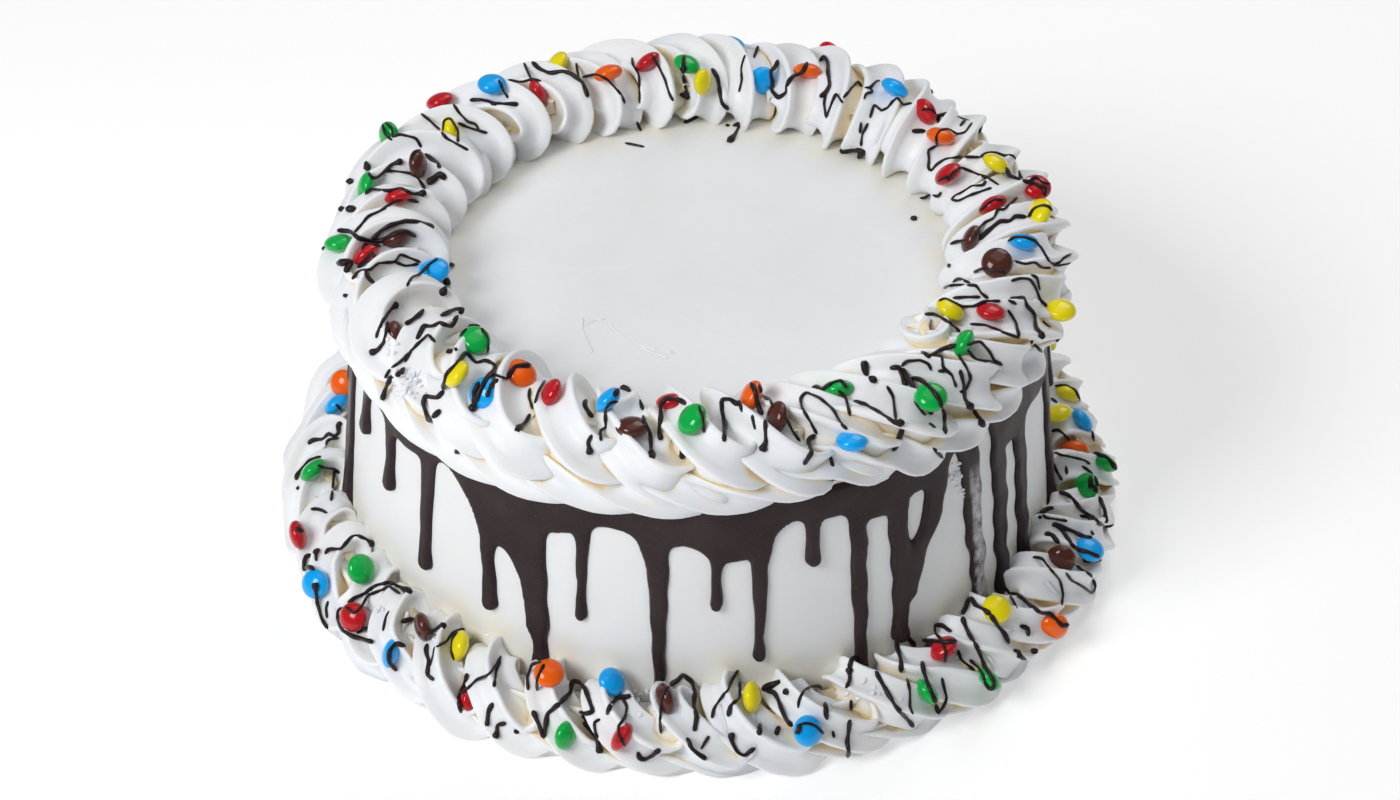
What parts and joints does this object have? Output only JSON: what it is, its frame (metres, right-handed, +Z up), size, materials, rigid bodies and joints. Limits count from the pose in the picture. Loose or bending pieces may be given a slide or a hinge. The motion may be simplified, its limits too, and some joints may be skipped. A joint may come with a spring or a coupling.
{
  "type": "chocolate drizzle cake",
  "caption": "Whole round iced layer cake with chocolate running down its side and piped cream rings dotted with button sweets at the top edge and foot.",
  "frame": {"origin": "middle of the underside, on the surface the cake stands on", "axes": "+Z up, -Y towards the shown front, +X to the right seen from the front"},
  "size_m": [0.2733, 0.2716, 0.1148],
  "materials": {
    "icing": "smooth, soft satin",
    "chocolate": "satin with a faint bloom",
    "piped_cream": "soft satin with warm folds",
    "sweets": "glossy sugar shell in six colours"
  },
  "bodies": {
    "root": {"cake": "icing", "chocolate_drip": "chocolate", "top_border": "piped_cream", "base_border": "piped_cream"}
  },
  "joints": []
}
